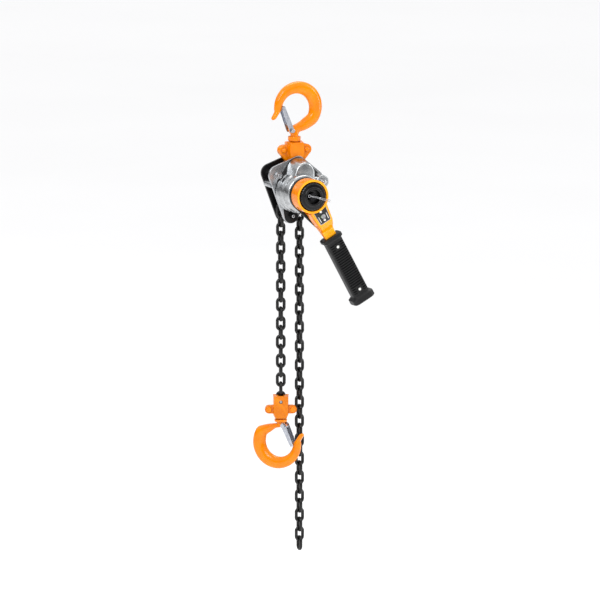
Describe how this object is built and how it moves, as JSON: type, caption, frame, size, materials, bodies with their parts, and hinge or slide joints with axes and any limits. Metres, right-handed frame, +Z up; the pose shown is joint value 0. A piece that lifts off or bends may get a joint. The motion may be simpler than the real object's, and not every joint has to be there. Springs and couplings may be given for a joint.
{
  "type": "lever chain hoist",
  "caption": "Small lever chain hoist with swivel hooks and spring latches, side-plate frame, disc brake cover, ratchet lever with rubber grip, hand knob and hanging load and free chains.",
  "frame": {"origin": "seat of the top hook, the inner top of its bowl, where a shackle or beam clamp carries the hoist", "axes": "+Z up along the chain, -Y towards the lever and hand knob, +X to the right of someone who faces the lever"},
  "size_m": [0.1273, 0.1059, 0.5963],
  "materials": {
    "hook_orange": "glossy baked enamel",
    "zinc_plate": "bright zinc",
    "spring_steel": "drawn wire",
    "bright_steel": "machined and plated",
    "nickel_plate": "bright plate",
    "black_paint": "semi-gloss black",
    "polished_alloy": "polished casting",
    "bronze": "plain bronze",
    "grip_rubber": "moulded rubber",
    "black_plastic": "moulded, semi-gloss",
    "black_label": "printed plate",
    "black_chain": "blackened, oiled"
  },
  "bodies": {
    "top_hook": {"top_hook": "hook_orange", "top_swivel_nut": "bright_steel"},
    "top_latch": {"top_latch": "zinc_plate", "top_latch_pin": "zinc_plate", "top_latch_spring": "spring_steel"},
    "yoke": {"yoke_front": "hook_orange", "yoke_rear": "hook_orange", "yoke_rivet_left": "hook_orange", "yoke_rivet_right": "hook_orange"},
    "frame": {"suspension_pin": "bright_steel", "front_side_plate": "nickel_plate", "rear_side_plate": "black_paint", "stay_bolt_left": "bright_steel", "stay_bolt_right": "bright_steel", "stay_bolt_bottom": "bright_steel", "stay_nut_left": "bright_steel", "stay_nut_right": "bright_steel", "stay_nut_bottom": "black_paint", "side_spacer": "nickel_plate", "chain_guide": "bright_steel", "brake_cover": "polished_alloy", "gear_case": "black_paint", "sheave_bearing_front": "bronze", "sheave_bearing_rear": "bronze", "pawl_pin": "bright_steel", "pawl_spring": "spring_steel", "chain_over_sheave": "black_chain"},
    "sheave": {"load_sheave": "bright_steel", "load_gear": "bright_steel"},
    "drive": {"drive_shaft": "bright_steel", "brake_hub": "bright_steel", "change_gear": "bright_steel", "hand_knob": "black_plastic", "knob_nut": "bright_steel", "split_pin": "bright_steel"},
    "idler_upper": {"idler_gear_upper": "bright_steel"},
    "idler_lower": {"idler_gear_lower": "bright_steel"},
    "ratchet": {"ratchet_wheel": "bright_steel", "friction_disc_inner": "bronze", "friction_disc_outer": "bronze"},
    "brake_pawl": {"brake_pawl": "bright_steel"},
    "lever": {"lever_front_cover": "hook_orange", "lever_rear_cover": "black_paint", "selector_plate": "black_label", "lever_grip": "grip_rubber"},
    "selector": {"selector_pawl": "bright_steel"},
    "load_chain_upper": {"load_chain_upper": "black_chain"},
    "load_chain_lower": {"load_chain_lower": "black_chain"},
    "lower_block": {"lower_block_front": "hook_orange", "lower_block_rear": "hook_orange", "chain_pin": "bright_steel", "lower_block_bolt_left": "hook_orange", "lower_block_bolt_right": "hook_orange"},
    "lower_hook": {"lower_hook": "hook_orange"},
    "lower_latch": {"lower_latch": "zinc_plate", "lower_latch_pin": "zinc_plate", "lower_latch_spring": "spring_steel"},
    "free_chain_upper": {"free_chain_upper": "black_chain"},
    "free_chain_lower": {"free_chain_lower": "black_chain"}
  },
  "joints": [
    {"name": "top_latch_pivot", "type": "hinge", "parent": "top_hook", "child": "top_latch", "pos_m": [-0.0073, 0, -0.0456], "axis": [0, 1, 0], "range_deg": [0, 30], "stiffness_Nm_per_rad": 0.03, "springref_deg": -34.38},
    {"name": "yoke_swivel", "type": "hinge", "parent": "top_hook", "child": "yoke", "pos_m": [-0.0017, 0, -0.07], "axis": [0, 0, 1], "continuous": true},
    {"name": "frame_pivot", "type": "hinge", "parent": "yoke", "child": "frame", "pos_m": [-0.0017, 0, -0.086], "axis": [0, 1, 0], "range_deg": [-30, 30]},
    {"name": "sheave_turn", "type": "hinge", "parent": "frame", "child": "sheave", "pos_m": [-0.00756, 0, -0.12101], "axis": [0, 1, 0], "continuous": true},
    {"name": "drive_turn", "type": "hinge", "parent": "frame", "child": "drive", "pos_m": [-0.00756, 0, -0.12101], "axis": [0, 1, 0], "continuous": true},
    {"name": "idler_upper_turn", "type": "hinge", "parent": "frame", "child": "idler_upper", "pos_m": [-0.00871, 0, -0.10907], "axis": [0, 1, 0], "continuous": true},
    {"name": "idler_lower_turn", "type": "hinge", "parent": "frame", "child": "idler_lower", "pos_m": [-0.00641, 0, -0.13296], "axis": [0, 1, 0], "continuous": true},
    {"name": "ratchet_turn", "type": "hinge", "parent": "frame", "child": "ratchet", "pos_m": [-0.00756, 0, -0.12101], "axis": [0, 1, 0], "continuous": true},
    {"name": "brake_pawl_pivot", "type": "hinge", "parent": "frame", "child": "brake_pawl", "pos_m": [-0.02246, 0, -0.13129], "axis": [0, 1, 0], "range_deg": [0, 15], "stiffness_Nm_per_rad": 0.002, "springref_deg": -17.19},
    {"name": "lever_swing", "type": "hinge", "parent": "frame", "child": "lever", "pos_m": [-0.00756, 0, -0.12101], "axis": [0, 1, 0], "continuous": true},
    {"name": "selector_flip", "type": "hinge", "parent": "lever", "child": "selector", "pos_m": [0.00637, 0, -0.14645], "axis": [0, 1, 0], "range_deg": [-15, 15]},
    {"name": "load_chain_upper_bend", "type": "hinge", "parent": "frame", "child": "load_chain_upper", "pos_m": [-0.02046, 0, -0.17801], "axis": [1, 0, 0], "range_deg": [-20, 0]},
    {"name": "load_chain_lower_bend", "type": "hinge", "parent": "load_chain_upper", "child": "load_chain_lower", "pos_m": [-0.02046, 0, -0.29731], "axis": [0.9752, -0.2212, 0], "range_deg": [-20, 0]},
    {"name": "lower_block_swing", "type": "hinge", "parent": "load_chain_lower", "child": "lower_block", "pos_m": [-0.02046, 0, -0.38841], "axis": [0.3907, 0.9205, 0], "range_deg": [0, 8]},
    {"name": "lower_hook_swivel", "type": "hinge", "parent": "lower_block", "child": "lower_hook", "pos_m": [-0.02046, 0, -0.41431], "axis": [0, 0, 1], "range_deg": [-55, 10]},
    {"name": "lower_latch_pivot", "type": "hinge", "parent": "lower_hook", "child": "lower_latch", "pos_m": [-0.01671, -0.00416, -0.4184], "axis": [0.7431, 0.6691, 0], "range_deg": [0, 30], "stiffness_Nm_per_rad": 0.03, "springref_deg": -34.38},
    {"name": "free_chain_upper_bend", "type": "hinge", "parent": "frame", "child": "free_chain_upper", "pos_m": [0.00534, 0, -0.18456], "axis": [1, 0, 0], "range_deg": [0, 20]},
    {"name": "free_chain_lower_bend", "type": "hinge", "parent": "free_chain_upper", "child": "free_chain_lower", "pos_m": [0.00534, 0, -0.37586], "axis": [1, 0, 0], "range_deg": [0, 20]}
  ],
  "couplings": [
    {"joint": "drive_turn", "follows": "sheave_turn", "ratio": 9},
    {"joint": "idler_upper_turn", "follows": "sheave_turn", "ratio": -3},
    {"joint": "idler_lower_turn", "follows": "sheave_turn", "ratio": -3}
  ]
}
